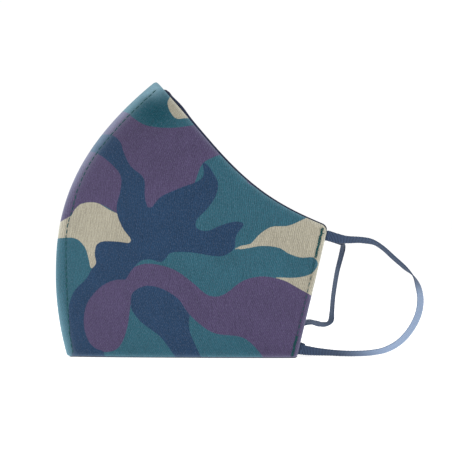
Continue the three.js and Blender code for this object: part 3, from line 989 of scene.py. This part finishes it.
def lining(name, side):
    us = spaced(EDGE_LENGTH, PLAIN_EDGE, PLAIN_EDGE, 1.9)
    vs = spaced(SEAM_LENGTH, PLAIN_EDGE, FINE_EDGE, 1.3)
    y, z = cloth_places(
        lambda height: seam_y(height) + mitre(height, LINING_RIM_DEPTH + 0.35),
        lambda height: ear_y(height) - LINING_EAR_INSET,
        0.0, peek, LINING_CORNERS, us, vs,
    )
    gap = outline_gap(y, z)
    proud = relief(y, z, side) * LINING_RELIEF
    points = as_points(y, z)
    _, along = nearest_on_line(points, TOP_LINE)
    in_upper_part = points[:, 1] > 40
    # Along the upper edge the lining rolls over, out past the shell's own edge.
    shares = np.linspace(0, 1, 200)
    top_gap, _ = nearest_on_line(points, top_edge(shares, peek(shares)))
    roll_over = (1 - ease((top_gap - peek(along / TOP_LENGTH) * 0.75) / 0.6)) * in_upper_part
    roll_under = 1 - ease((points[:, 1] - 0.15) / 0.5)
    over = np.maximum(roll_over, roll_under * 0.8).reshape(y.shape)
    deep = SHELL_THICKNESS + CLEARANCE + pocket(y, z)
    edge = rolled(gap, LINING_FOLD_RADIUS)
    middle = deep + LINING_THICKNESS / 2
    outer_flat = deep * (1 - over) + 0.25 * over - proud
    inner_flat = deep + LINING_THICKNESS + 0.25 * over - proud
    rim = middle * (1 - over) + 0.85 * over
    outer = rim * edge + outer_flat * (1 - edge)
    inner = rim * edge + inner_flat * (1 - edge)
    piece, rows = closed_sheet(f"lining_{name}", side, y, z, outer, inner, LINING)
    add_vectors(piece, "weave", weave_place(y, z)[rows])
    finish_sheet(piece, "lining", name)


for name, side in SIDES.items():
    shell(name, side)
    lining(name, side)


# ---- Thread ----

LINING_FACE = SHELL_THICKNESS + CLEARANCE + LINING_THICKNESS  # the lining's inner face


def tube(points, radius, sides=7):
    """A strand through the points, thinner at its two ends; returns its vertices and faces."""
    points = np.asarray(points)
    alongs = unit(np.gradient(points, axis=0))
    guide = np.array([0.31, 0.17, 0.94])
    first = unit(np.cross(alongs, guide))
    second = np.cross(alongs, first)
    angles = np.linspace(0, 2 * np.pi, sides, endpoint=False)
    ends = np.ones(len(points))
    ends[0] = ends[-1] = 0.45
    rings = points[:, None] + radius * ends[:, None, None] * (
        first[:, None] * np.cos(angles)[None, :, None] + second[:, None] * np.sin(angles)[None, :, None]
    )
    return rings.reshape(-1, 3), faces_between_rings(len(points), sides)


def strands(name, runs, radius):
    """One mesh from several strands of thread."""
    points, faces, base = [], [], 0
    for run in runs:
        ring_points, ring_faces = tube(run, radius)
        points.append(ring_points)
        faces += [tuple(i + base for i in face) for face in ring_faces]
        base += len(ring_points)
    piece = make_mesh(name, np.concatenate(points), faces, THREAD)
    return piece


def stitches(side, line_y, low, high, dice, inside=False):
    """Separate running stitches along a line, each dipping into the cloth at its two ends."""
    places, length = resampled(line_through(line_y, low, high, 400), 0.1)
    runs = []
    start = 0.2
    while start + STITCH_LENGTH < length:
        reach = STITCH_LENGTH * dice.uniform(0.92, 1.06)
        shares = np.linspace(0, 1, 9)
        spots = (start + shares * reach) / length * (len(places) - 1)
        line = np.stack([np.interp(spots, np.arange(len(places)), column) for column in places.T], axis=-1)
        line[:, 0] += dice.uniform(-0.07, 0.07)
        dip = STITCH_DIP * np.abs(2 * shares - 1) ** 3.5
        y, z = line.T
        lift = -relief(y[None], z[None], side)[0]
        if inside:
            depth = LINING_FACE + pocket(y, z) + LINING_RELIEF * lift + STITCH_PROUD - dip
        else:
            depth = lift - STITCH_PROUD + dip
        runs.append(on_cloth(side, y, z, depth))
        start += reach + STITCH_GAP * dice.uniform(0.8, 1.3)
    return runs


TACK_PASSES = 4
TACK_SPREAD = 0.25  # between its passes
TACK_HALF_WIDTH = 0.72
TACK_CROSSING = 1.5  # between its crossing threads


def tack_run(side, y, heights, inside, proud):
    """One strand of a bar tack, on the shell or, where `inside`, on the lining."""
    lift = -relief(y[None], heights[None], side)[0]
    if inside:
        depth = LINING_FACE + pocket(y, heights) + LINING_RELIEF * lift + proud
    else:
        depth = lift - proud
    return on_cloth(side, y, heights, depth)


def bar_tack(side, low, high, dice, inside=False):
    """Several passes of thread up and down the same short line, with zigzags across them."""
    runs = []
    for number in range(TACK_PASSES):
        heights = np.linspace(low + dice.uniform(-0.3, 0.3), high + dice.uniform(-0.3, 0.3), 44)
        offset = (number - 1.5) * TACK_SPREAD
        sway = 0.16 * np.sin(heights / dice.uniform(0.8, 1.3) + dice.uniform(0, 6))
        ripple = 0.13 * np.sin(2 * np.pi * heights / 2.3 + number * 1.7)
        y = hem_stitch_y(heights) + offset + sway
        runs.append(tack_run(side, y, heights, inside, 0.14 + ripple))
    crossings = round((high - low) / TACK_CROSSING)
    for number in range(crossings):
        z = low + (number + 0.5 + dice.uniform(-0.2, 0.2)) * (high - low) / crossings
        offsets = np.linspace(-TACK_HALF_WIDTH, TACK_HALF_WIDTH, 7)
        heights = z + offsets * dice.choice((-0.9, 0.9)) * 0.8
        arch = 0.16 * (1 - (offsets / TACK_HALF_WIDTH) ** 2) + (0.16 if inside else 0.18)
        runs.append(tack_run(side, hem_stitch_y(heights) + offsets, heights, inside, arch))
    return runs


def loose_threads(side, z, dice):
    """A few short ends of thread that stand off the cloth near a bar tack."""
    runs = []
    for _ in range(3):
        start = z + dice.uniform(-2.5, 1)
        shares = np.linspace(0, 1, 10)
        heights = start + shares * dice.uniform(-2.6, 2.2)
        y = hem_stitch_y(heights) + dice.uniform(-0.6, 0.6) + shares**1.4 * dice.uniform(-2.2, 2.0)
        runs.append(on_cloth(side, y, heights, -0.35 - 0.9 * np.sin(shares * 2.4)))
    return runs


def sew(name, runs, radius, node, body):
    """Makes the strands one piece that stands for a CAD node and moves with its body."""
    piece = strands(name, runs, radius)
    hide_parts(node)
    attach(piece, body)


def sew_side(name, side, dice):
    cheek = f"{name}_cheek"
    tack_foot = HEM_STITCH_TOP - TACK_LENGTH_TOP
    tack_head = STITCH_MARGIN + TACK_LENGTH_BOTTOM
    seam = stitches(side, seam_stitch_y, STITCH_MARGIN, SEAM_STITCH_TOP, dice)
    sew(f"topstitch_{name}", seam, SEAM_THREAD_RADIUS, f"centre_stitch_{name}", "front")
    hem = stitches(side, hem_stitch_y, tack_head, tack_foot, dice)
    hem += stitches(side, hem_stitch_y, tack_head, tack_foot, dice, inside=True)
    sew(f"hem_stitches_{name}", hem, HEM_THREAD_RADIUS, f"hem_stitch_{name}", cheek)
    top = bar_tack(side, tack_foot, HEM_STITCH_TOP, dice)
    top += loose_threads(side, HEM_STITCH_TOP - 2, dice)
    top += bar_tack(side, tack_foot, HEM_STITCH_TOP, dice, inside=True)
    sew(f"bar_tack_thread_{name}_top", top, TACK_THREAD_RADIUS, f"bar_tack_{name}_top", cheek)
    bottom = bar_tack(side, STITCH_MARGIN, tack_head, dice)
    bottom += bar_tack(side, STITCH_MARGIN, tack_head, dice, inside=True)
    sew(f"bar_tack_thread_{name}_bottom", bottom, TACK_THREAD_RADIUS, f"bar_tack_{name}_bottom", cheek)


for name, side in SIDES.items():
    sew_side(name, side, random.Random(11 if side > 0 else 23))


# ---- Floor, light and background ----


FLOOR_RADIUS = 90000  # so far that no edge of it shows
FLOOR_SIDES = 64


def add_floor():
    nodes = Nodes("pale_studio_floor")
    place = nodes.add("ShaderNodeTexCoord").outputs["Object"]
    mottle = nodes.noise(place, 3, 3)
    colour = nodes.mix(mottle, linear(244, 244, 244), linear(250, 250, 250))
    material = nodes.finish(colour, 0.9)
    nodes.shader.inputs["Emission Color"].default_value = (1, 1, 1, 1)
    nodes.shader.inputs["Emission Strength"].default_value = 0.5
    angles = np.linspace(0, 2 * math.pi, FLOOR_SIDES, endpoint=False)
    ring = [(FLOOR_RADIUS * math.cos(a), FLOOR_RADIUS * math.sin(a), 0) for a in angles]
    floor = make_mesh("floor", ring, [tuple(range(FLOOR_SIDES))], material, smooth=False)


def add_softbox(name, place, size, power):
    data = bpy.data.lights.new(name, "AREA")
    data.shape = "SQUARE"
    data.size = size
    data.energy = power
    lamp = bpy.data.objects.new(name, data)
    lamp.location = place
    towards = -np.array(place) + np.array([0, 0, 0.06])
    back = unit(-towards)
    level = unit(np.cross([0, 0, 1], back))
    up = np.cross(back, level)
    rows = [[level[i], up[i], back[i], place[i]] for i in range(3)] + [[0, 0, 0, 1]]
    lamp.matrix_world = Matrix(rows)
    bpy.context.scene.collection.objects.link(lamp)


def add_world():
    """White along the horizon, behind the mask, and dimmer overhead."""
    world = bpy.data.worlds.new("studio")
    bpy.context.scene.world = world
    world.use_nodes = True
    tree = world.node_tree
    backdrop = tree.nodes["Background"]
    direction = tree.nodes.new("ShaderNodeTexCoord")
    parts = tree.nodes.new("ShaderNodeSeparateXYZ")
    tree.links.new(direction.outputs["Generated"], parts.inputs[0])
    height = tree.nodes.new("ShaderNodeMapRange")
    tree.links.new(parts.outputs[2], height.inputs[0])
    for socket, value in zip(list(height.inputs)[1:], (0.08, 0.35, 1.03, 0.62)):
        socket.default_value = value
    tree.links.new(height.outputs[0], backdrop.inputs["Strength"])
    backdrop.inputs["Color"].default_value = (1, 1, 1, 1)


add_floor()
add_world()
add_softbox("key_softbox", place=(2.6, -1.9, 2.4), size=1.8, power=46)
add_softbox("fill_softbox", place=(-2.2, 1.8, 2.6), size=2.2, power=34)
bpy.context.scene.view_settings.view_transform = "Standard"
